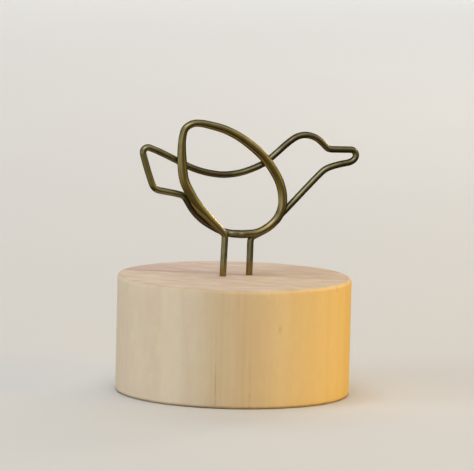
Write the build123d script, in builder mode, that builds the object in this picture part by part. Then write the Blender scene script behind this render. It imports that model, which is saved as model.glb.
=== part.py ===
from build123d import *
import math
import os

# ---------------------------------------------------------------- driving dimensions (mm)
block_d = 60.0            # round wooden block, grain upright
block_h = 30.0
rim_round = 0.7           # softened top and bottom rims

wire_d = 1.7              # springy bronze wire
loop_w = 2.15             # clip loop: the wire pressed wider in the bird's plane ...
loop_front = 0.93         # ... with a domed front, measured from its widest line ...
loop_back = 0.42          # ... and a flatter back, which bears on the card
loop_set = 4 / (3 * math.pi) * (loop_front - loop_back)   # keeps its middle on the wire's line
y_front = -0.80           # plane of the clip loop and the rear leg
y_back = 0.92             # plane of the bird's outline, wing bar and front leg

hole_depth = 14.5         # blind leg holes
leg_in_wood = 14.0        # wire held in each hole
rear_leg_x = -3.45        # leg holes along the bird
front_leg_x = 4.18
set_z = block_h + 0.6     # the legs lean slightly from just above the wood

belly_z = 40.65           # lowest strand of the belly; the clip loop flexes about it
loop_end_x = 2.70         # right end of the clip loop's bottom strand
flex_gap = 0.20           # room for the loop to tip at its two ends
lean = 0.035              # rear leg's lean, x per z

# Clip loop, an egg with its blunt end low on the right, as (x, z).
loop_start_z = 39.30
loop_xz = [
    (rear_leg_x + lean * (loop_start_z - set_z), loop_start_z),
    (-3.10, 40.60),       # bend out of the rear leg
    (-9.86, 47.30),
    (-11.48, 49.37),
    (-13.95, 53.63),
    (-14.58, 55.68),
    (-14.89, 58.24),
    (-15.15, 61.81),
    (-15.11, 65.49),
    (-14.49, 68.16),      # tight top bend
    (-12.16, 69.33),
    (-9.85, 69.21),
    (-6.69, 68.47),
    (-3.75, 67.64),
    (0.08, 65.80),
    (3.41, 63.49),
    (6.59, 60.85),
    (9.05, 57.85),
    (11.15, 54.41),
    (12.18, 51.20),
    (12.30, 47.73),
    (11.13, 44.67),
    (8.46, 42.21),
    (5.53, 40.83),
    (loop_end_x, belly_z),
]

# Bird's outline: belly, tail, wing bar, head, beak, breast and front leg, as (x, y, z, bend).
# A bend of None takes the largest arc that its two runs leave room for.
outline = [
    (loop_end_x - flex_gap, y_front, belly_z, None),
    (1.50, y_front, belly_z, 2.2),          # steps back behind the rear leg
    (-1.40, y_back, 40.68, None),
    (-4.00, y_back, 41.48, None),           # outer belly strand
    (-6.43, y_back, 42.67, None),
    (-8.67, y_back, 44.07, None),
    (-11.19, y_back, 46.38, None),
    (-13.83, y_back, 50.62, 2.0),           # belly into tail
    (-15.91, y_back, 51.16, None),
    (-21.85, y_back, 52.27, 2.6),           # lower tail corner
    (-23.63, y_back, 57.10, None),
    (-25.15, y_back, 62.20, None),          # tail tip
    (-23.95, y_back, 63.20, None),
    (-21.20, y_back, 62.16, None),
    (-18.30, y_back, 60.80, None),
    (-11.70, y_back, 57.56, None),          # wing bar
    (-8.15, y_back, 56.47, None),
    (-3.63, y_back, 55.73, None),
    (0.96, y_back, 56.18, None),
    (5.18, y_back, 57.58, None),
    (8.12, y_back, 59.05, None),
    (11.18, y_back, 61.66, None),           # nape
    (13.76, y_back, 63.94, None),
    (16.19, y_back, 65.57, None),           # head
    (18.50, y_back, 66.00, None),
    (21.11, y_back, 65.35, None),
    (23.11, y_back, 63.82, None),
    (24.70, y_back, 62.13, 2.0),            # brow
    (32.03, y_back, 61.95, None),           # beak tip
    (32.48, y_back, 59.96, None),
    (31.00, y_back, 58.76, None),
    (27.41, y_back, 58.18, None),
    (24.01, y_back, 57.13, None),           # throat
    (21.77, y_back, 55.01, None),
    (11.50, y_back, 44.52, None),           # breast
    (7.47, y_back, 41.00, None),
    (4.32, y_back, 39.62, 1.25),            # bend into the front leg
    (front_leg_x, y_back, set_z, 20.0),
    (front_leg_x, y_back, block_h - leg_in_wood, None),
]


def bends(points, stated=None, share=0.45):
    """Bend radius at each inner point: the stated one, or the largest its two runs allow."""
    v = [Vector(*p) for p in points]
    radii = []
    for i in range(1, len(v) - 1):
        before, after = v[i] - v[i - 1], v[i + 1] - v[i]
        room = share * min(before.length, after.length)
        largest = room / math.tan(math.radians(before.get_angle(after)) / 2)
        wanted = stated[i] if stated and stated[i] else largest
        radii.append(min(wanted, largest))
    return radii


os.makedirs("parts", exist_ok=True)

# ---------------------------------------------------------------- wooden block
with BuildPart() as wooden_block:
    with BuildSketch(Plane.XY):
        Circle(block_d / 2)
    extrude(amount=block_h)
    fillet(wooden_block.edges().filter_by(GeomType.CIRCLE), radius=rim_round)
    with Locations((rear_leg_x, y_front, block_h), (front_leg_x, y_back, block_h)):
        Hole(radius=wire_d / 2, depth=hole_depth)

# ---------------------------------------------------------------- rear leg
leg_top_z = loop_start_z - flex_gap
rear_leg_points = [
    (rear_leg_x, y_front, block_h - leg_in_wood),
    (rear_leg_x, y_front, set_z),
    (rear_leg_x + lean * (leg_top_z - set_z), y_front, leg_top_z),
]
with BuildPart() as rear_leg:
    with BuildLine() as rear_leg_path:
        FilletPolyline(rear_leg_points, radius=[20.0])
    start = rear_leg_path.wire()
    with BuildSketch(Plane(origin=start @ 0, z_dir=start % 0)):
        Circle(wire_d / 2)
    sweep(path=rear_leg_path.wire())

# ---------------------------------------------------------------- clip loop
loop_points = [(x, y_front, z) for x, z in loop_xz]
loop_bends = bends(loop_points)
with BuildPart() as clip_loop:
    with BuildLine() as loop_path:
        FilletPolyline(loop_points, radius=loop_bends)
    start = loop_path.wire()
    with BuildSketch(Plane(origin=start @ 0, x_dir=(0, 1, 0), z_dir=start % 0)):
        with BuildLine():
            EllipticalCenterArc((loop_set, 0), loop_front, loop_w / 2, 90, arc_size=180)
            EllipticalCenterArc((loop_set, 0), loop_back, loop_w / 2, 270, arc_size=180)
        make_face()
    sweep(path=loop_path.wire())

# ---------------------------------------------------------------- bird outline
outline_points = [p[:3] for p in outline]
outline_bends = bends(outline_points, [p[3] for p in outline])
with BuildPart() as bird_outline:
    with BuildLine() as outline_path:
        FilletPolyline(outline_points, radius=outline_bends)
    start = outline_path.wire()
    with BuildSketch(Plane(origin=start @ 0, z_dir=start % 0)):
        Circle(wire_d / 2)
    sweep(path=outline_path.wire())

# ---------------------------------------------------------------- labels, files, measures
pieces = {
    "wooden_block": wooden_block,
    "rear_leg": rear_leg,
    "clip_loop": clip_loop,
    "bird_outline": bird_outline,
}
for node, piece in pieces.items():
    piece.part.label = node
    export_step(piece.part, f"parts/{node}.step")

round_area = math.pi * wire_d ** 2 / 4
flat_area = math.pi * loop_w * (loop_front + loop_back) / 4
for node, path, area in (
    ("rear_leg", rear_leg_path, round_area),
    ("clip_loop", loop_path, flat_area),
    ("bird_outline", outline_path, round_area),
):
    length = path.wire().length
    print(f"{node}: length {length:.1f} mm, section x length {area * length:.2f}, "
          f"volume {pieces[node].part.volume:.2f}")
print("tightest bends:", f"loop {min(loop_bends):.2f}", f"outline {min(outline_bends):.2f}")
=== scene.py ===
import math

import bmesh
import bpy
import numpy as np
from mathutils import Matrix, Vector


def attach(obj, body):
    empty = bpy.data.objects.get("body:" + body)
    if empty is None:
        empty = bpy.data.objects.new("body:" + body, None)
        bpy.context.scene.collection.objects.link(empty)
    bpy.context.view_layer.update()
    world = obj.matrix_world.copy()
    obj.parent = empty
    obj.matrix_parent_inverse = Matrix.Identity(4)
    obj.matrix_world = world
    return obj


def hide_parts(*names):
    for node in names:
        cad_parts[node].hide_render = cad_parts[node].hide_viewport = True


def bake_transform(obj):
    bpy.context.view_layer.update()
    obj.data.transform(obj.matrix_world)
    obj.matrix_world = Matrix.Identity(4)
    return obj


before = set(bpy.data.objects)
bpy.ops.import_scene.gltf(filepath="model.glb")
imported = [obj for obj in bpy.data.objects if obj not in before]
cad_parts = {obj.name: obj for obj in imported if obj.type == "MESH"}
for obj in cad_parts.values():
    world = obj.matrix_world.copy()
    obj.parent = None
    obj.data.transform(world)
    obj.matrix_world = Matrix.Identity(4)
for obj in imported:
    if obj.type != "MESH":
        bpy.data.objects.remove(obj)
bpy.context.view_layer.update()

MM = 0.001

# ------------------------------------------------------------------ dimensions (mm)
BLOCK_R = 30.0
BLOCK_H = 30.0
RIM = 0.7
WIRE_R = 0.85
Y_FRONT = -0.80
Y_BACK = 0.92
SET_Z = 30.6
LEG_END_Z = 16.0
HOLE_BOTTOM_Z = 15.5
REAR_X, FRONT_X = -3.45, 4.18
BELLY_Z = 40.65

# The wire from end to end: (x, y, z, bend radius or None for the largest that fits)
LOOP_XZ = [
    (-3.10, 40.60), (-9.86, 47.30), (-11.48, 49.37), (-13.95, 53.63), (-14.58, 55.68),
    (-14.89, 58.24), (-15.15, 61.81), (-15.11, 65.49), (-14.49, 68.16), (-12.16, 69.33),
    (-9.85, 69.21), (-6.69, 68.47), (-3.75, 67.64), (0.08, 65.80), (3.41, 63.49),
    (6.59, 60.85), (9.05, 57.85), (11.15, 54.41), (12.18, 51.20), (12.30, 47.73),
    (11.13, 44.67), (8.46, 42.21), (5.53, 40.83),
]
OUTLINE = [
    (1.50, Y_FRONT, BELLY_Z, 2.2), (-1.40, Y_BACK, 40.68, None), (-4.00, Y_BACK, 41.48, None),
    (-6.43, Y_BACK, 42.67, None), (-8.67, Y_BACK, 44.07, None), (-11.19, Y_BACK, 46.38, None),
    (-13.83, Y_BACK, 50.62, 2.0), (-15.91, Y_BACK, 51.16, None), (-21.85, Y_BACK, 52.27, 2.6),
    (-23.63, Y_BACK, 57.10, None), (-25.15, Y_BACK, 62.20, None), (-23.95, Y_BACK, 63.20, None),
    (-21.20, Y_BACK, 62.16, None), (-18.30, Y_BACK, 60.80, None), (-11.70, Y_BACK, 57.56, None),
    (-8.15, Y_BACK, 56.47, None), (-3.63, Y_BACK, 55.73, None), (0.96, Y_BACK, 56.18, None),
    (5.18, Y_BACK, 57.58, None), (8.12, Y_BACK, 59.05, None), (11.18, Y_BACK, 61.66, None),
    (13.76, Y_BACK, 63.94, None), (16.19, Y_BACK, 65.57, None), (18.50, Y_BACK, 66.00, None),
    (21.11, Y_BACK, 65.35, None), (23.11, Y_BACK, 63.82, None), (24.70, Y_BACK, 62.13, 2.0),
    (32.03, Y_BACK, 61.95, None), (32.48, Y_BACK, 59.96, None), (31.00, Y_BACK, 58.76, None),
    (27.41, Y_BACK, 58.18, None), (24.01, Y_BACK, 57.13, None), (21.77, Y_BACK, 55.01, None),
    (11.50, Y_BACK, 44.52, None), (7.47, Y_BACK, 41.00, None), (4.32, Y_BACK, 39.62, 1.25),
    (FRONT_X, Y_BACK, SET_Z, 20.0), (FRONT_X, Y_BACK, LEG_END_Z, None),
]
WIRE = (
    [(REAR_X, Y_FRONT, LEG_END_Z, None), (REAR_X, Y_FRONT, SET_Z, 20.0)]
    + [(x, Y_FRONT, z, 1.25 if i == 0 else None) for i, (x, z) in enumerate(LOOP_XZ)]
    + OUTLINE
)


# ------------------------------------------------------------------ the wire's line
def bent_line(points, step=0.05, share=0.45):
    """Straight runs joined by tangent arcs, sampled finely."""
    p = np.array([q[:3] for q in points], float)
    out = [p[0]]

    def run_to(b):
        a = out[-1]
        n = max(1, int(math.ceil(np.linalg.norm(b - a) / step)))
        out.extend(a + (b - a) * k / n for k in range(1, n + 1))

    for i in range(1, len(p) - 1):
        u, w = p[i] - p[i - 1], p[i + 1] - p[i]
        lu, lw = np.linalg.norm(u), np.linalg.norm(w)
        u, w = u / lu, w / lw
        turn = math.acos(max(-1.0, min(1.0, float(u @ w))))
        largest = share * min(lu, lw) / math.tan(turn / 2)
        r = min(points[i][3], largest) if points[i][3] else largest
        t = r * math.tan(turn / 2)
        run_to(p[i] - u * t)
        n = w - (w @ u) * u
        n /= np.linalg.norm(n)
        centre = out[-1] + n * r
        m = max(2, int(math.ceil(r * turn / step)))
        out.extend(centre + r * (u * math.sin(turn * k / m) - n * math.cos(turn * k / m)) for k in range(1, m + 1))
    run_to(p[-1])
    return np.array(out)


def lengths(p):
    return np.concatenate([[0.0], np.cumsum(np.linalg.norm(np.diff(p, axis=0), axis=1))])


def even(p, step):
    s = lengths(p)
    n = int(round(s[-1] / step))
    t = np.linspace(0, s[-1], n + 1)
    return np.stack([np.interp(t, s, p[:, k]) for k in range(3)], -1)


def eased(p, sigma):
    """Evens out the change from run to arc, as wire bent by hand has it. The two ends stay put."""
    step = np.linalg.norm(p[1] - p[0])
    n = int(math.ceil(3 * sigma / step))
    k = np.exp(-0.5 * (np.arange(-n, n + 1) * step / sigma) ** 2)
    k /= k.sum()
    a = 2 * p[0] - p[n:0:-1]
    b = 2 * p[-1] - p[-2:-n - 2:-1]
    q = np.vstack([a, p, b])
    return np.stack([np.convolve(q[:, i], k, mode="valid") for i in range(3)], -1)


STEP = 0.20
line = even(eased(even(bent_line(WIRE), 0.1), 0.35), STEP)
along = lengths(line)


def at(x, z, y=None):
    """Length along the wire at the point nearest to x, z (and y)."""
    d = (line[:, 0] - x) ** 2 + (line[:, 2] - z) ** 2
    if y is not None:
        d = d + (line[:, 1] - y) ** 2
    return float(along[int(d.argmin())])


# Half width in the bird's plane. The wire is round, and is pressed wider all round the clip
# loop, most on its two long sides and least at its tight top bend.
KEYS = [
    (0.0, 0.85), (at(-3.10, 40.0, Y_FRONT), 0.85), (at(-5.6, 43.0, Y_FRONT), 1.00),
    (at(-7.7, 45.1, Y_FRONT), 1.13), (at(-9.86, 47.3, Y_FRONT), 1.27), (at(-12.8, 51.7, Y_FRONT), 1.26),
    (at(-13.95, 53.63, Y_FRONT), 1.25), (at(-14.58, 55.68, Y_FRONT), 1.28), (at(-14.89, 58.24, Y_FRONT), 1.30),
    (at(-15.1, 61.0, Y_FRONT), 1.22), (at(-15.1, 63.2, Y_FRONT), 1.09), (at(-14.8, 66.6, Y_FRONT), 0.97), (at(-13.9, 68.3, Y_FRONT), 0.91),
    (at(-11.0, 69.2, Y_FRONT), 0.93), (at(-6.69, 68.4, Y_FRONT), 1.03), (at(0.08, 65.7, Y_FRONT), 1.12),
    (at(3.4, 63.4, Y_FRONT), 1.21), (at(6.59, 60.8, Y_FRONT), 1.24), (at(9.05, 57.85, Y_FRONT), 1.18),
    (at(11.05, 54.41, Y_FRONT), 1.18), (at(12.2, 49.5, Y_FRONT), 1.22), (at(11.0, 44.67, Y_FRONT), 1.15), (at(5.53, 40.9, Y_FRONT), 1.07), (at(0.6, 40.65), 1.05),
    (at(-3.1, 41.1, Y_BACK), 0.95), (at(-6.5, 42.7, Y_BACK), 0.86), (at(-9.0, 44.3, Y_BACK), 0.85),
    (along[-1], 0.85),
]
key_s = [k[0] for k in KEYS]
assert key_s == sorted(key_s)
half_w = np.interp(along, key_s, [k[1] for k in KEYS])
ease = np.exp(-0.5 * (np.arange(-20, 21) * STEP / 1.3) ** 2)
ease /= ease.sum()
half_w = np.convolve(np.pad(half_w, 20, mode="edge"), ease, mode="valid")
# Depth of the domed front and of the flatter back, from the widest line. Pressing keeps the
# wire's section area and the place of its middle.
front_d = WIRE_R + 0.08 * np.clip((half_w - WIRE_R) / 0.225, 0, 1)
back_d = np.maximum(2 * WIRE_R ** 2 / half_w - front_d, 0.34)
widest = 4 / (3 * math.pi) * (front_d - back_d)

# A hand-bent wire is never quite even: a slow change of about one part in a hundred.
rng = np.random.default_rng(7)
phase = rng.uniform(0, 2 * math.pi, 6)
wander = sum(math.sqrt(1 / (i + 1)) * np.sin(along * 2 * math.pi / (23.0 / (i + 1)) + phase[i]) for i in range(6)) / 4
half_w = half_w * (1 + 0.008 * wander)
front_d = front_d * (1 - 0.006 * wander)

tangent = np.gradient(line, axis=0)
tangent /= np.linalg.norm(tangent, axis=1)[:, None]
through = np.zeros_like(line)
b = np.array([0.0, 1.0, 0.0])
for i in range(len(line)):
    b = b - (b @ tangent[i]) * tangent[i]
    b /= np.linalg.norm(b)
    through[i] = b
across = np.cross(through, tangent)

SIDES = 28


def wire_piece(name, first, last):
    """A length of the wire as a closed tube, with a map: u round it, v along it in cm."""
    bm = bmesh.new()
    uv = bm.loops.layers.uv.new("along_wire")
    rings = []
    for i in range(first, last + 1):
        ring = []
        for k in range(SIDES):
            a = 2 * math.pi * k / SIDES
            deep = back_d[i] if math.sin(a) > 0 else front_d[i]
            p = line[i] + across[i] * half_w[i] * math.cos(a) + through[i] * (widest[i] + deep * math.sin(a))
            ring.append(bm.verts.new(p * MM))
        rings.append(ring)
    for i in range(len(rings) - 1):
        for k in range(SIDES):
            n = (k + 1) % SIDES
            f = bm.faces.new((rings[i][k], rings[i][n], rings[i + 1][n], rings[i + 1][k]))
            f.smooth = True
            v0, v1 = along[first + i] / 10, along[first + i + 1] / 10
            for loop, c in zip(f.loops, ((k, v0), (k + 1, v0), (k + 1, v1), (k, v1))):
                loop[uv].uv = (c[0] / SIDES, c[1])
    for ring in (rings[0], rings[-1][::-1]):
        bm.faces.new(ring[::-1])
    bmesh.ops.recalc_face_normals(bm, faces=bm.faces)
    mesh = bpy.data.meshes.new(name)
    bm.to_mesh(mesh)
    bm.free()
    obj = bpy.data.objects.new(name, mesh)
    bpy.context.scene.collection.objects.link(obj)
    return obj


split = int(np.abs(along - at(-3.1, 41.1, Y_BACK)).argmin())
clip_wire = wire_piece("clip_wire", 0, split)
outline_wire = wire_piece("outline_wire", split, len(line) - 1)


# ------------------------------------------------------------------ the block
def waves(theta, seed, orders):
    """A closed, uneven wave round the block, within -1 and 1."""
    g = np.random.default_rng(seed)
    total = sum(np.sin(n * theta + g.uniform(0, 2 * math.pi)) * g.uniform(0.5, 1.0) for n in orders)
    return total / np.abs(total).max()


def block_piece(name):
    bm = bmesh.new()
    around = 360
    theta = np.arange(around) * 2 * math.pi / around
    # rims eased with sandpaper, so no two places are alike, and a hair out of round
    top_rim = RIM + 0.32 + 0.24 * waves(theta, 21, (2, 3, 5, 8)) + 0.07 * waves(theta, 22, (17, 23, 31))
    low_rim = RIM + 0.15 + 0.18 * waves(theta, 23, (2, 4, 7)) + 0.05 * waves(theta, 24, (19, 29))
    radius = BLOCK_R - 0.05 + 0.05 * waves(theta, 25, (2, 3, 5))
    profile = []
    for k in range(9):
        a = math.pi / 2 * k / 8
        profile.append((radius - low_rim + low_rim * math.sin(a), low_rim - low_rim * math.cos(a)))
    for k in range(1, 20):
        profile.append((radius, low_rim + (BLOCK_H - low_rim - top_rim) * k / 20))
    for k in range(9):
        a = math.pi / 2 * k / 8
        profile.append((radius - top_rim + top_rim * math.cos(a), BLOCK_H - top_rim + top_rim * math.sin(a)))
    rings = [
        [bm.verts.new((r[k] * MM * math.cos(theta[k]), r[k] * MM * math.sin(theta[k]), z[k] * MM)) for k in range(around)]
        for r, z in profile
    ]
    for lower, upper in zip(rings, rings[1:]):
        for k in range(around):
            n = (k + 1) % around
            bm.faces.new((lower[k], lower[n], upper[n], upper[k])).smooth = True
    bm.faces.new(rings[0][::-1])
    # the top, with its two drilled leg holes
    edges = [bm.edges.get((rings[-1][k], rings[-1][(k + 1) % around])) for k in range(around)]
    for x, y in ((REAR_X, Y_FRONT), (FRONT_X, Y_BACK)):
        hole_r = WIRE_R + 0.04
        levels = []
        for z, r in ((BLOCK_H, hole_r + 0.12), (BLOCK_H - 0.14, hole_r), (HOLE_BOTTOM_Z, hole_r)):
            levels.append([
                bm.verts.new(((x + r * math.cos(2 * math.pi * k / 40)) * MM, (y + r * math.sin(2 * math.pi * k / 40)) * MM, z * MM))
                for k in range(40)
            ])
        for upper, lower in zip(levels, levels[1:]):
            for k in range(40):
                n = (k + 1) % 40
                bm.faces.new((upper[k], upper[n], lower[n], lower[k])).smooth = True
        bm.faces.new(levels[-1])
        edges += [bm.edges.get((levels[0][k], levels[0][(k + 1) % 40])) for k in range(40)]
    bmesh.ops.triangle_fill(bm, use_beauty=True, edges=edges, normal=(0, 0, 1))
    bmesh.ops.recalc_face_normals(bm, faces=bm.faces)
    mesh = bpy.data.meshes.new(name)
    bm.to_mesh(mesh)
    bm.free()
    obj = bpy.data.objects.new(name, mesh)
    bpy.context.scene.collection.objects.link(obj)
    return obj


block = block_piece("turned_block")


# ------------------------------------------------------------------ node helpers
class Nodes:
    def __init__(self, name):
        self.mat = bpy.data.materials.new(name)
        self.mat.use_nodes = True
        self.tree = self.mat.node_tree
        self.tree.nodes.clear()
        self.out = self.tree.nodes.new("ShaderNodeOutputMaterial")
        self.bsdf = self.tree.nodes.new("ShaderNodeBsdfPrincipled")
        self.link(self.bsdf.outputs[0], self.out.inputs[0])

    def link(self, a, b):
        self.tree.links.new(a, b)

    def put(self, socket, value):
        if isinstance(value, bpy.types.NodeSocket):
            self.link(value, socket)
        else:
            socket.default_value = value

    def node(self, kind, **inputs):
        n = self.tree.nodes.new(kind)
        for key, value in inputs.items():
            self.put(n.inputs[key], value)
        return n

    def coords(self, which):
        return self.tree.nodes.new("ShaderNodeTexCoord").outputs[which]

    def uv(self, name):
        n = self.tree.nodes.new("ShaderNodeUVMap")
        n.uv_map = name
        return n.outputs[0]

    def normal(self):
        return self.tree.nodes.new("ShaderNodeNewGeometry").outputs["Normal"]

    def turned(self, vector, angle):
        n = self.tree.nodes.new("ShaderNodeMapping")
        self.link(vector, n.inputs["Vector"])
        n.inputs["Rotation"].default_value = (0, 0, angle)
        return n.outputs[0]

    def scaled(self, vector, scale, offset=(0, 0, 0)):
        n = self.tree.nodes.new("ShaderNodeMapping")
        self.link(vector, n.inputs["Vector"])
        n.inputs["Scale"].default_value = scale
        n.inputs["Location"].default_value = offset
        return n.outputs[0]

    def noise(self, vector, scale, detail=3.0, rough=0.5, distortion=0.0, colour=False):
        n = self.tree.nodes.new("ShaderNodeTexNoise")
        self.link(vector, n.inputs["Vector"])
        n.inputs["Scale"].default_value = scale
        n.inputs["Detail"].default_value = detail
        n.inputs["Roughness"].default_value = rough
        n.inputs["Distortion"].default_value = distortion
        return n.outputs["Color" if colour else "Fac"]

    def math(self, op, a, b=0.0, c=0.0, clamp=False):
        n = self.tree.nodes.new("ShaderNodeMath")
        n.operation = op
        n.use_clamp = clamp
        for i, v in enumerate((a, b, c)):
            self.put(n.inputs[i], v)
        return n.outputs[0]

    def remap(self, value, a, b, c, d, smooth=False):
        n = self.tree.nodes.new("ShaderNodeMapRange")
        n.interpolation_type = "SMOOTHSTEP" if smooth else "LINEAR"
        self.put(n.inputs["Value"], value)
        for key, v in (("From Min", a), ("From Max", b), ("To Min", c), ("To Max", d)):
            self.put(n.inputs[key], v)
        return n.outputs[0]

    def ramp(self, value, stops):
        n = self.tree.nodes.new("ShaderNodeValToRGB")
        self.put(n.inputs[0], value)
        e = n.color_ramp.elements
        while len(e) < len(stops):
            e.new(0.5)
        for el, (pos, col) in zip(e, stops):
            el.position = pos
            el.color = (*col, 1.0) if len(col) == 3 else col
        return n.outputs[0]

    def mix(self, fac, a, b, blend="MIX"):
        n = self.tree.nodes.new("ShaderNodeMix")
        n.data_type = "RGBA"
        n.blend_type = blend
        self.put(n.inputs[0], fac)
        self.put(n.inputs[6], a)
        self.put(n.inputs[7], b)
        return n.outputs[2]

    def split(self, vector):
        n = self.tree.nodes.new("ShaderNodeSeparateXYZ")
        self.link(vector, n.inputs[0])
        return n.outputs

    def join(self, x, y, z):
        n = self.tree.nodes.new("ShaderNodeCombineXYZ")
        for i, v in enumerate((x, y, z)):
            self.put(n.inputs[i], v)
        return n.outputs[0]

    def bump(self, height, strength, distance, normal=None):
        n = self.tree.nodes.new("ShaderNodeBump")
        n.inputs["Strength"].default_value = strength
        n.inputs["Distance"].default_value = distance
        self.link(height, n.inputs["Height"])
        if normal is not None:
            self.link(normal, n.inputs["Normal"])
        return n.outputs[0]


def lin(r, g, b):
    """sRGB 0-255 to linear."""
    f = lambda c: c / 12.92 if c <= 0.04045 else ((c + 0.055) / 1.055) ** 2.4
    return tuple(f(v / 255) for v in (r, g, b))


# ------------------------------------------------------------------ wood
def wood():
    m = Nodes("pale_wood")
    p = m.scaled(m.coords("Object"), (1000, 1000, 1000))  # mm
    x, y, z = m.split(p)[:3]
    up = m.remap(m.split(m.normal())[2], 0.60, 0.95, 0.0, 1.0, smooth=True)
    side = m.math("SUBTRACT", 1.0, up)

    # growth rings about a pith well behind the block, so that they run nearly straight across
    # its top; they waver slowly, and their spacing is uneven
    sway = m.split(m.noise(m.scaled(p, (0.055, 0.055, 0.010)), 1.0, 2.0, 0.5, colour=True))
    qx = m.math("ADD", m.math("SUBTRACT", x, 42.0), m.math("MULTIPLY_ADD", sway[0], 5.0, -2.5))
    qy = m.math("ADD", m.math("SUBTRACT", y, 78.3), m.math("MULTIPLY_ADD", sway[1], 5.0, -2.5))
    r = m.math("SQRT", m.math("ADD", m.math("MULTIPLY", qx, qx), m.math("MULTIPLY", qy, qy)))
    uneven = m.noise(m.join(m.math("MULTIPLY", r, 0.23), 0.0, 3.7), 1.0, 1.0, 0.5)
    phase = m.math("DIVIDE", m.math("ADD", m.math("SUBTRACT", r, 85.0), m.math("MULTIPLY_ADD", uneven, 4.4, -2.2)), 4.11)
    part = m.math("FRACT", phase)
    each = m.noise(m.join(m.math("FLOOR", phase), 5.1, 0.4), 3.7, 0.0, 0.5)
    late = m.ramp(part, [(0.0, (0.65,) * 3), (0.025, (0.06,) * 3), (0.40, (0.0,) * 3), (0.80, (0.22,) * 3), (0.97, (1.0,) * 3), (1.0, (0.85,) * 3)])
    late = m.math("MULTIPLY", late, m.remap(each, 0.35, 0.65, 0.25, 1.0))
    # one ring, across the middle of the top, is plainer: sharp in front, soft towards the pith
    bow = m.math("MULTIPLY_ADD", x, -0.54, 1.0)
    behind = m.math("ADD", m.math("SUBTRACT", y, bow), m.math("MULTIPLY_ADD", sway[2], 2.4, -1.2))
    ragged = m.noise(m.scaled(m.turned(p, 0.49), (0.15, 0.06, 0.0)), 1.0, 2.0, 0.5)
    behind = m.math("ADD", behind, m.math("MULTIPLY_ADD", ragged, 3.0, -1.5))
    past = m.remap(behind, -0.9, 0.3, 0.0, 1.0, smooth=True)
    plain_ring = m.math("MULTIPLY", m.math("MULTIPLY", past, m.remap(behind, 0.3, 6.5, 1.0, 0.0)), m.remap(x, -4.0, 12.0, 1.0, 0.34, smooth=True))

    # broad tone and fibres, drawn out up the grain
    broad = m.noise(m.scaled(p, (0.13, 0.13, 0.006)), 1.0, 3.0, 0.55)
    streak = m.noise(m.scaled(p, (1.1, 1.1, 0.022)), 1.0, 3.0, 0.6)
    fibre = m.noise(m.scaled(p, (7.0, 7.0, 0.16)), 1.0, 3.0, 0.62)
    pore = m.remap(m.noise(m.scaled(p, (9.0, 9.0, 0.62)), 1.0, 1.0, 0.5), 0.67, 0.78, 0.0, 1.0)

    # ray flecks, thin round the pith and drawn out from it
    turn = m.math("MULTIPLY", m.math("ARCTAN2", qx, qy), 110.0)
    fleck = m.remap(m.noise(m.scaled(m.join(turn, r, z), (3.2, 0.30, 0.85)), 1.0, 1.0, 0.5), 0.62, 0.78, 0.0, 1.0)

    tone = m.math("ADD", m.math("MULTIPLY_ADD", broad, 0.46, 0.165), m.math("MULTIPLY", streak, 0.11))
    tone = m.math("ADD", tone, m.math("MULTIPLY", fibre, 0.10))
    figure = m.noise(m.scaled(p, (0.40, 0.40, 0.24)), 1.0, 3.0, 0.6)
    tone = m.math("ADD", tone, m.math("MULTIPLY_ADD", figure, 0.36, -0.18))
    colour = m.ramp(tone, [
        (0.34, lin(200, 183, 154)), (0.45, lin(204, 189, 161)), (0.54, lin(208, 194, 167)), (0.66, lin(211, 198, 172)),
    ])
    # a pinker blush here and there
    blush = m.remap(m.noise(m.scaled(p, (0.17, 0.17, 0.08), (3.1, 0.0, 1.7)), 1.0, 2.0, 0.5), 0.46, 0.64, 0.0, 0.40)
    colour = m.mix(m.math("MULTIPLY", blush, side), colour, (*lin(209, 186, 166), 1))
    # one side is yellower: partly the wood's own tone, partly painted warm light from the right
    az = m.math("MULTIPLY", m.math("ARCTAN2", x, m.math("MULTIPLY", y, -1.0)), 180 / math.pi)
    honey_and_painted_warm_light = m.math("MULTIPLY", m.remap(az, -40.0, 52.0, 0.0, 1.0, smooth=True), m.remap(az, 90.0, 165.0, 1.0, 0.0, smooth=True))
    colour = m.mix(m.math("MULTIPLY", honey_and_painted_warm_light, 0.62), colour, (*lin(208, 184, 127), 1))
    # deeper yellow towards the right edge: partly the wood's own tone, partly painted warm light
    deep = m.math("MULTIPLY", m.remap(az, 36.0, 74.0, 0.0, 1.0, smooth=True), m.remap(az, 90.0, 150.0, 1.0, 0.0, smooth=True))
    colour = m.mix(m.math("MULTIPLY", deep, 0.84), colour, (*lin(192, 164, 87), 1))
    colour = m.mix(m.math("MULTIPLY", late, 0.11), colour, (*lin(178, 143, 108), 1))
    colour = m.mix(m.math("MULTIPLY", fleck, 0.16), colour, (*lin(226, 206, 178), 1))
    colour = m.mix(m.math("MULTIPLY", pore, 0.15), colour, (*lin(158, 124, 92), 1))

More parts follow.
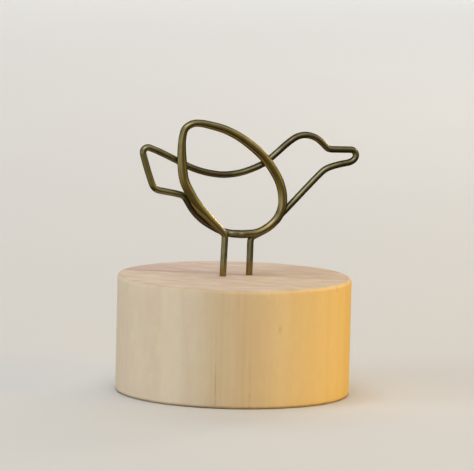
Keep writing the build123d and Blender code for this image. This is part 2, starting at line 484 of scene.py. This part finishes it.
    # what marks the front: a browner stripe, a paler one, two fine dark lines and a pin knot
    waver = m.math("MULTIPLY_ADD", m.noise(m.join(0.0, 2.0, m.math("MULTIPLY", z, 0.11)), 1.0, 2.0, 0.5), 1.6, -0.8)
    az_w = m.math("ADD", az, waver)
    brown = m.math("MULTIPLY", m.remap(az_w, -46.0, -20.0, 0.0, 1.0, smooth=True), m.remap(az_w, -14.0, 10.0, 1.0, 0.0, smooth=True))
    brown = m.math("MULTIPLY", m.math("MULTIPLY", brown, side), m.remap(streak, 0.35, 0.65, 0.55, 1.0))
    colour = m.mix(m.math("MULTIPLY", brown, 0.56), colour, (*lin(186, 163, 122), 1))
    pale = m.math("MULTIPLY", m.remap(m.math("ABSOLUTE", m.math("ADD", az_w, 50.0)), 2.5, 8.0, 1.0, 0.0, smooth=True), side)
    colour = m.mix(m.math("MULTIPLY", pale, 0.25), colour, (*lin(222, 206, 180), 1))
    for at_az, half, strength, low, high in ((-26.1, 0.70, 0.36, -2.0, 26.0), (-9.6, 0.75, 0.32, -2.0, 19.0)):
        ink = m.remap(m.math("ABSOLUTE", m.math("SUBTRACT", az_w, at_az)), 0.0, half, 1.0, 0.0, smooth=True)
        fade = m.remap(z, low, high, 1.0, 0.0, smooth=True)
        fade = m.math("MULTIPLY", m.math("POWER", fade, 0.6), m.remap(m.noise(m.join(at_az, 1.0, z), 0.33, 2.0, 0.6), 0.36, 0.62, 0.15, 1.0))
        ink = m.math("MULTIPLY", m.math("MULTIPLY", ink, fade), side)
        colour = m.mix(m.math("MULTIPLY", ink, strength), colour, (*lin(126, 96, 64), 1))
    kz = m.math("MULTIPLY", m.math("SUBTRACT", z, 20.10), 0.60)
    ka = m.math("MULTIPLY", m.math("SUBTRACT", az, 5.05), 30 * math.pi / 180)
    kd = m.math("SQRT", m.math("ADD", m.math("MULTIPLY", kz, kz), m.math("MULTIPLY", ka, ka)))
    knot = m.math("MULTIPLY", m.remap(m.math("ADD", kd, m.math("MULTIPLY_ADD", fibre, 0.5, -0.25)), 0.05, 0.85, 1.0, 0.0, smooth=True), side)
    colour = m.mix(m.math("MULTIPLY", knot, 0.24), colour, (*lin(142, 108, 74), 1))
    # fibres torn by the saw, short and pale, just under the top rim
    torn = m.remap(m.noise(m.scaled(p, (2.6, 2.6, 0.30)), 1.0, 2.0, 0.6), 0.60, 0.72, 0.0, 1.0)
    torn = m.math("MULTIPLY", m.math("MULTIPLY", torn, side), m.remap(z, 25.0, 29.2, 0.0, 1.0, smooth=True))
    colour = m.mix(m.math("MULTIPLY", torn, 0.30), colour, (*lin(226, 206, 176), 1))
    check = m.remap(m.math("ABSOLUTE", m.math("SUBTRACT", az, 42.0)), 0.1, 1.2, 1.0, 0.0, smooth=True)
    check = m.math("MULTIPLY", check, m.remap(m.math("ABSOLUTE", m.math("SUBTRACT", z, 29.3)), 0.2, 1.3, 1.0, 0.0, smooth=True))
    colour = m.mix(m.math("MULTIPLY", check, 0.34), colour, (*lin(164, 118, 66), 1))

    # end grain: a little darker and pinker, with the ring through its middle the plainest
    end = m.math("MULTIPLY", up, 0.66)
    colour = m.mix(end, colour, (*lin(191, 171, 153), 1))
    ring_top = m.math("MULTIPLY", m.math("ADD", m.math("MULTIPLY", late, 0.24), m.math("MULTIPLY", plain_ring, 0.52)), up)
    heart = m.math("MULTIPLY", m.math("MULTIPLY", past, up), m.remap(x, -20.0, 12.0, 0.78, 0.26, smooth=True))
    colour = m.mix(heart, colour, (*lin(181, 158, 147), 1))
    colour = m.mix(ring_top, colour, (*lin(150, 120, 98), 1))
    patch = m.noise(m.scaled(m.turned(p, 0.49), (0.13, 0.34, 0.0)), 1.0, 3.0, 0.6)
    colour = m.mix(m.math("MULTIPLY", m.remap(patch, 0.50, 0.66, 0.0, 0.44), up), colour, (*lin(218, 198, 174), 1))
    colour = m.mix(m.math("MULTIPLY", m.remap(patch, 0.50, 0.34, 0.0, 0.42), up), colour, (*lin(176, 149, 126), 1))
    dots = m.remap(m.noise(p, 5.5, 2.0, 0.6), 0.60, 0.75, 0.0, 1.0)
    colour = m.mix(m.math("MULTIPLY", m.math("MULTIPLY", dots, up), 0.12), colour, (*lin(164, 132, 106), 1))

    # rubbed rims: sanding has closed and paled the grain there; the paler rim on the front right is also a painted
    # highlight, and the rest of the rim is darkened as painted shade
    rad = m.math("SQRT", m.math("ADD", m.math("MULTIPLY", x, x), m.math("MULTIPLY", y, y)))
    rim = m.remap(m.math("ADD", rad, m.math("ABSOLUTE", m.math("SUBTRACT", z, 15.0))), 44.00, 44.62, 0.0, 1.0, smooth=True)
    rub = m.math("MULTIPLY", rim, m.remap(m.noise(p, 0.22, 3.0, 0.6), 0.40, 0.62, 0.0, 1.0))
    # the front right of the rim, where the highlight is painted
    rim_painted_highlight_zone = m.math("MULTIPLY", m.remap(az, 4.0, 22.0, 0.0, 1.0, smooth=True), m.remap(az, 36.0, 58.0, 1.0, 0.0, smooth=True))
    colour = m.mix(m.math("MULTIPLY", m.math("MULTIPLY", rub, rim_painted_highlight_zone), 0.30), colour, (*lin(230, 205, 154), 1))
    # painted shade on the rest of the rim
    rim_painted_shade = m.math("MULTIPLY", rim, m.math("SUBTRACT", 1.0, rim_painted_highlight_zone))
    rim_painted_shade = m.math("MULTIPLY", rim_painted_shade, m.remap(az, 36.0, 62.0, 0.36, 0.62, smooth=True))
    colour = m.mix(rim_painted_shade, colour, (*lin(176, 144, 98), 1))
    # painted shade along the lower rim, darker towards the bottom, where the block meets the floor
    painted_foot_light_and_shade = m.math("MULTIPLY", m.remap(z, 0.15, 0.85, 1.0, 0.0, smooth=True), m.remap(m.noise(p, 0.5, 3.0, 0.6), 0.35, 0.6, 0.5, 1.0))
    colour = m.mix(m.math("MULTIPLY", painted_foot_light_and_shade, 0.55), colour, (*lin(132, 104, 70), 1))

    m.put(m.bsdf.inputs["Base Color"], colour)
    rough = m.remap(fibre, 0.3, 0.7, 0.56, 0.70)
    rough = m.math("SUBTRACT", rough, m.math("MULTIPLY", rub, 0.12))
    m.put(m.bsdf.inputs["Roughness"], rough)
    m.bsdf.inputs["Specular IOR Level"].default_value = 0.32
    sanded = m.noise(m.scaled(m.turned(p, 0.6), (0.35, 9.0, 9.0)), 1.0, 2.0, 0.6)
    height = m.math("ADD", m.math("MULTIPLY", fibre, m.math("MULTIPLY", side, 0.8)), m.math("MULTIPLY", pore, -0.5))
    height = m.math("ADD", height, m.math("MULTIPLY", m.math("MULTIPLY", sanded, up), 0.45))
    m.put(m.bsdf.inputs["Normal"], m.bump(height, 0.35, 0.00005))
    return m.mat


# ------------------------------------------------------------------ antique bronze wire
def bronze():
    m = Nodes("antique_bronze")
    p = m.scaled(m.coords("Object"), (1000, 1000, 1000))  # mm
    uv = m.uv("along_wire")
    patina = m.noise(p, 0.16, 3.0, 0.55, 0.3)
    blotch = m.noise(p, 0.9, 3.0, 0.6)
    specks = m.noise(p, 6.0, 2.0, 0.6)
    drawn = m.noise(m.scaled(uv, (16.0, 0.8, 1.0)), 3.0, 4.0, 0.65)

    tone = m.math("ADD", m.math("MULTIPLY", patina, 0.55), m.math("MULTIPLY", blotch, 0.17))
    tone = m.math("ADD", tone, m.math("MULTIPLY", drawn, 0.20))
    tone = m.math("ADD", tone, m.math("MULTIPLY", specks, 0.08))
    # lighter round the tail, a painted highlight; darker on the belly strand and the wing bar, painted shadow where
    # the clip loop covers them; a little darker on the crown, painted shade
    reach = m.split(uv)[1]
    tail_painted_highlight = m.math("MULTIPLY", m.remap(reach, 12.7, 13.4, 0.0, 1.0, smooth=True), m.remap(reach, 14.7, 15.3, 1.0, 0.0, smooth=True))
    wing_painted_shadow = m.math("MULTIPLY", m.remap(reach, 15.2, 15.8, 0.0, 1.0, smooth=True), m.remap(reach, 16.9, 17.6, 1.0, 0.0, smooth=True))
    tone = m.math("ADD", tone, m.math("MULTIPLY", tail_painted_highlight, 0.13))
    tone = m.math("SUBTRACT", tone, m.math("MULTIPLY", wing_painted_shadow, 0.11))
    # painted shadow on the belly strand and painted shade on the crown
    belly_strand_painted_shadow = m.math("MULTIPLY", m.remap(reach, 11.0, 11.5, 0.0, 1.0, smooth=True), m.remap(reach, 12.2, 12.8, 1.0, 0.0, smooth=True))
    crown_painted_shade = m.math("MULTIPLY", m.remap(reach, 18.5, 18.8, 0.0, 1.0, smooth=True), m.remap(reach, 19.1, 19.4, 1.0, 0.0, smooth=True))
    tone = m.math("SUBTRACT", tone, m.math("ADD", m.math("MULTIPLY", belly_strand_painted_shadow, 0.11), m.math("MULTIPLY", crown_painted_shade, 0.14)))
    colour = m.ramp(tone, [
        (0.36, lin(77, 64, 35)), (0.46, lin(95, 88, 55)), (0.54, lin(106, 100, 65)), (0.66, lin(124, 117, 76)),
    ])
    # cards pushed in and out have rubbed the clip loop smoother; its brighter, more golden colour is partly that wear
    # and partly a painted reflection
    wear_and_painted_sheen = m.math("MULTIPLY", m.remap(reach, 2.1, 2.9, 0.0, 1.0, smooth=True), m.remap(reach, 10.4, 11.1, 1.0, 0.0, smooth=True))
    wear_and_painted_sheen = m.math("MULTIPLY", wear_and_painted_sheen, m.remap(m.noise(p, 0.33, 3.0, 0.6), 0.34, 0.60, 0.35, 1.0))
    colour = m.mix(m.math("MULTIPLY", wear_and_painted_sheen, 0.80), colour, (*lin(135, 120, 68), 1))
    # painted highlight on the legs next to the wood: lighter and more golden, standing in for mirrored light
    painted_foot_light_and_shade = m.math("MULTIPLY", m.remap(m.split(p)[2], 29.5, 36.0, 1.0, 0.0, smooth=True), m.remap(drawn, 0.35, 0.6, 0.7, 1.0))
    colour = m.mix(m.math("MULTIPLY", painted_foot_light_and_shade, 0.80), colour, (*lin(146, 118, 62), 1))
    # painted shade on the downward-facing side of the belly strands
    belly_underside_painted_shade = m.math("MULTIPLY", m.remap(m.split(m.normal())[2], -0.10, -0.70, 0.0, 1.0, smooth=True), m.remap(m.split(p)[2], 43.0, 50.0, 1.0, 0.0, smooth=True))
    colour = m.mix(m.math("MULTIPLY", belly_underside_painted_shade, 0.55), colour, (*lin(58, 48, 26), 1))
    m.put(m.bsdf.inputs["Base Color"], colour)
    m.bsdf.inputs["Metallic"].default_value = 1.0
    m.put(m.bsdf.inputs["Roughness"], m.math("SUBTRACT", m.remap(tone, 0.38, 0.64, 0.18, 0.12), m.math("MULTIPLY", wear_and_painted_sheen, 0.035)))
    m.bsdf.inputs["Specular Tint"].default_value = (*lin(140, 128, 104), 1)
    m.bsdf.inputs["Coat Weight"].default_value = 0.5
    m.bsdf.inputs["Coat Roughness"].default_value = 0.12
    m.bsdf.inputs["Coat IOR"].default_value = 1.45
    height = m.math("ADD", m.math("MULTIPLY", drawn, 0.55), m.math("MULTIPLY", specks, 0.45))
    m.put(m.bsdf.inputs["Normal"], m.bump(height, 0.16, 0.00003))
    return m.mat


wood_mat = wood()
bronze_mat = bronze()
block.data.materials.append(wood_mat)
clip_wire.data.materials.append(bronze_mat)
outline_wire.data.materials.append(bronze_mat)

# ------------------------------------------------------------------ pieces on the frame
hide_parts("wooden_block")
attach(block, "stand")
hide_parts("bird_outline")
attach(outline_wire, "stand")
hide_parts("rear_leg", "clip_loop")
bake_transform(clip_wire)


# ------------------------------------------------------------------ floor
def floor_mat():
    m = Nodes("pale_floor")
    p = m.coords("Object")
    n = m.noise(p, 2.2, 2.0, 0.5)
    m.put(m.bsdf.inputs["Base Color"], m.ramp(n, [(0.3, lin(197, 195, 190)), (0.7, lin(199, 198, 194))]))
    m.bsdf.inputs["Roughness"].default_value = 0.7
    m.bsdf.inputs["Specular IOR Level"].default_value = 0.2
    return m.mat


floor_mesh = bpy.data.meshes.new("floor")
h = 4.0
floor_mesh.from_pydata([(-h, -h, 0), (h, -h, 0), (h, h, 0), (-h, h, 0)], [], [(0, 1, 2, 3)])
floor = bpy.data.objects.new("floor", floor_mesh)
floor_mesh.materials.append(floor_mat())
bpy.context.scene.collection.objects.link(floor)
floor.visible_glossy = False  # the metal mirrors the room below instead

# ------------------------------------------------------------------ camera, at the photograph's angle
AZ, EL, ROLL = math.radians(-18.0), math.radians(8.03), math.radians(1.39)
DIST = 1.2
right = Vector((math.cos(AZ), math.sin(AZ), 0))
back = Vector((math.cos(EL) * math.sin(AZ), -math.cos(EL) * math.cos(AZ), math.sin(EL)))
up = back.cross(right)
target = Vector((0, 0, 0.01485))
eye = target + back * DIST
aim = target + right * 0.000336 + up * 0.02526
cam_z = (eye - aim).normalized()
cam_x = Vector((0, 0, 1)).cross(cam_z).normalized()
cam_y = cam_z.cross(cam_x)
rot = Matrix((cam_x, cam_y, cam_z)).transposed() @ Matrix.Rotation(ROLL, 3, "Z")
cam_data = bpy.data.cameras.new("camera")
cam_data.sensor_width = 36.0
cam_data.lens = 4682.0 / 474.0 * 36.0
cam_data.clip_end = 50.0
camera = bpy.data.objects.new("camera", cam_data)
camera.matrix_world = Matrix.Translation(eye) @ rot.to_4x4()
bpy.context.scene.collection.objects.link(camera)
bpy.context.scene.camera = camera

# ------------------------------------------------------------------ soft studio light
def area(name, place, size, power, colour, toward=(0, 0, 0.03), spread=180, glossy=True):
    """place is in the camera's own directions: right, away from the camera, up (m)."""
    data = bpy.data.lights.new(name, "AREA")
    data.shape = "RECTANGLE"
    data.size, data.size_y = size
    data.energy = power
    data.color = colour
    data.spread = math.radians(spread)
    obj = bpy.data.objects.new(name, data)
    away = Vector((-math.sin(AZ), math.cos(AZ), 0))
    pos = right * place[0] + away * place[1] + Vector((0, 0, place[2]))
    obj.location = pos
    obj.rotation_euler = (pos - Vector(toward)).to_track_quat("Z", "Y").to_euler()
    obj.visible_glossy = glossy
    bpy.context.scene.collection.objects.link(obj)


area("key_left", (-1.10, -0.50, 0.32), (0.45, 0.50), 6.1, (0.93, 0.97, 1.04), glossy=False)
area("front_window", (-0.50, -1.20, 0.44), (1.30, 0.80), 2.9, (1.0, 0.98, 0.95), glossy=False)
area("top_soft", (-0.10, -0.30, 1.50), (1.2, 1.2), 15.7, (0.99, 0.98, 0.97), glossy=False)
area("warm_right", (1.10, -0.29, 0.17), (0.8, 0.26), 11.4, (1.0, 0.594, 0.022), toward=(0, 0, 0.015), glossy=False)
area("peach_right", (0.85, 0.31, 0.45), (0.28, 0.28), 0.6, (1.0, 0.78, 0.42), glossy=False)
area("back_glint", (0.60, 0.92, 0.42), (0.12, 0.12), 2.0, (1.0, 0.90, 0.74))
area("back_fill", (0.37, 2.40, 0.34), (1.37, 0.37), 16.7, (1.0, 0.96, 0.90), toward=(0, 0, 0.015), glossy=False)
area("far_floor", (0.0, 1.30, 1.30), (2.2, 0.9), 8.0, (0.97, 0.98, 1.0), toward=(-1.1 * math.sin(AZ), 1.1 * math.cos(AZ), 0), spread=130, glossy=False)
area("far_floor_2", (0.0, 2.60, 1.50), (2.6, 1.4), 14.0, (0.97, 0.98, 1.0), toward=(-2.6 * math.sin(AZ), 2.6 * math.cos(AZ), 0), spread=130, glossy=False)

# The room: soft and even for the wood and the floor; for mirrored light a bright front, a dim
# surround, and warm light from below and from the right.
world = bpy.data.worlds.new("soft_room")
bpy.context.scene.world = world
world.use_nodes = True
room = world.node_tree
bg = room.nodes["Background"]


def room_node(kind, op=None, **inputs):
    n = room.nodes.new(kind)
    if op:
        n.operation = op
    for key, value in inputs.items():
        socket = n.inputs[int(key[1:])] if key[1:].isdigit() else n.inputs[key]
        if isinstance(value, bpy.types.NodeSocket):
            room.links.new(value, socket)
        else:
            socket.default_value = value
    return n


def toward_room(side, rise):
    """A direction by its angle right of the camera's side and its rise, in degrees."""
    a, e = math.radians(side), math.radians(rise)
    away = Vector((-math.sin(AZ), math.cos(AZ), 0))
    return (right * math.sin(a) - away * math.cos(a)) * math.cos(e) + Vector((0, 0, math.sin(e)))


look = room.nodes.new("ShaderNodeTexCoord").outputs["Generated"]
height = room.nodes.new("ShaderNodeSeparateXYZ")
room.links.new(look, height.inputs[0])


def glow(side, rise, power, colour):
    facing = room_node("ShaderNodeVectorMath", "DOT_PRODUCT", _0=look, _1=toward_room(side, rise)).outputs["Value"]
    lobe = room_node("ShaderNodeMath", "POWER", _0=room_node("ShaderNodeMath", "MAXIMUM", _0=facing, _1=0.0).outputs[0], _1=power).outputs[0]
    return room_node("ShaderNodeVectorMath", "SCALE", _0=colour, Scale=lobe).outputs[0]


def plus(a, b):
    return room_node("ShaderNodeVectorMath", "ADD", _0=a, _1=b).outputs[0]


mirrored = plus((0.120, 0.115, 0.092), glow(-4.0, 38.0, 30.0, (2.65, 2.75, 3.70)))
mirrored = plus(mirrored, glow(20.0, 32.0, 20.0, (1.00, 0.97, 0.85)))
mirrored = plus(mirrored, glow(10.0, 12.0, 8.0, (0.45, 0.44, 0.46)))
mirrored = plus(mirrored, glow(-54.0, 46.0, 9.0, (1.15, 1.20, 1.50)))
mirrored = plus(mirrored, glow(15.0, 74.0, 5.0, (0.55, 0.53, 0.52)))
mirrored = plus(mirrored, glow(-50.0, -4.0, 12.0, (0.75, 0.76, 0.86)))
mirrored = plus(mirrored, glow(-86.0, -9.0, 13.0, (0.95, 0.95, 0.95)))
mirrored = plus(mirrored, glow(-6.0, 2.0, 28.0, (0.75, 0.75, 0.86)))
mirrored = plus(mirrored, glow(-10.0, -12.0, 10.0, (0.45, 0.43, 0.40)))
mirrored = plus(mirrored, glow(-165.0, 14.0, 3.0, (0.26, 0.28, 0.44)))
low = room_node("ShaderNodeMapRange", Value=height.outputs[2])
for key, v in (("From Min", -0.10), ("From Max", -0.38), ("To Min", 0.0), ("To Max", 1.0)):
    low.inputs[key].default_value = v
warm = room_node("ShaderNodeMix")
warm.data_type = "VECTOR"
room.links.new(low.outputs[0], warm.inputs[0])
warm.inputs[4].default_value = (1.0, 1.0, 1.0)
warm.inputs[5].default_value = (0.66, 0.54, 0.26)
mirrored = room_node("ShaderNodeVectorMath", "MULTIPLY", _0=mirrored, _1=warm.outputs[1]).outputs[0]
mirrored = plus(mirrored, glow(-56.0, -27.0, 18.0, (0.52, 0.51, 0.42)))
mirrored = plus(mirrored, glow(36.0, 62.0, 12.0, (0.36, 0.35, 0.33)))
mirrored = plus(mirrored, glow(88.0, 42.0, 8.0, (0.90, 0.90, 1.15)))
mirrored = plus(mirrored, glow(75.0, -12.0, 4.0, (0.12, 0.09, 0.03)))
mirrored = plus(mirrored, glow(74.0, 15.0, 16.0, (0.85, 0.62, 0.15)))
mirrored = plus(mirrored, glow(122.0, 27.0, 42.0, (4.2, 3.7, 2.5)))
ray = room.nodes.new("ShaderNodeLightPath").outputs["Is Glossy Ray"]
seen = room_node("ShaderNodeMix")
seen.data_type = "VECTOR"
room.links.new(ray, seen.inputs[0])
seen.inputs[4].default_value = (0.103, 0.110, 0.120)
room.links.new(mirrored, seen.inputs[5])
room.links.new(seen.outputs[1], bg.inputs[0])
bg.inputs[1].default_value = 1.0

view = bpy.context.scene.view_settings
view.view_transform = "Standard"
view.look = "None"
view.exposure = 0.0
view.gamma = 1.0
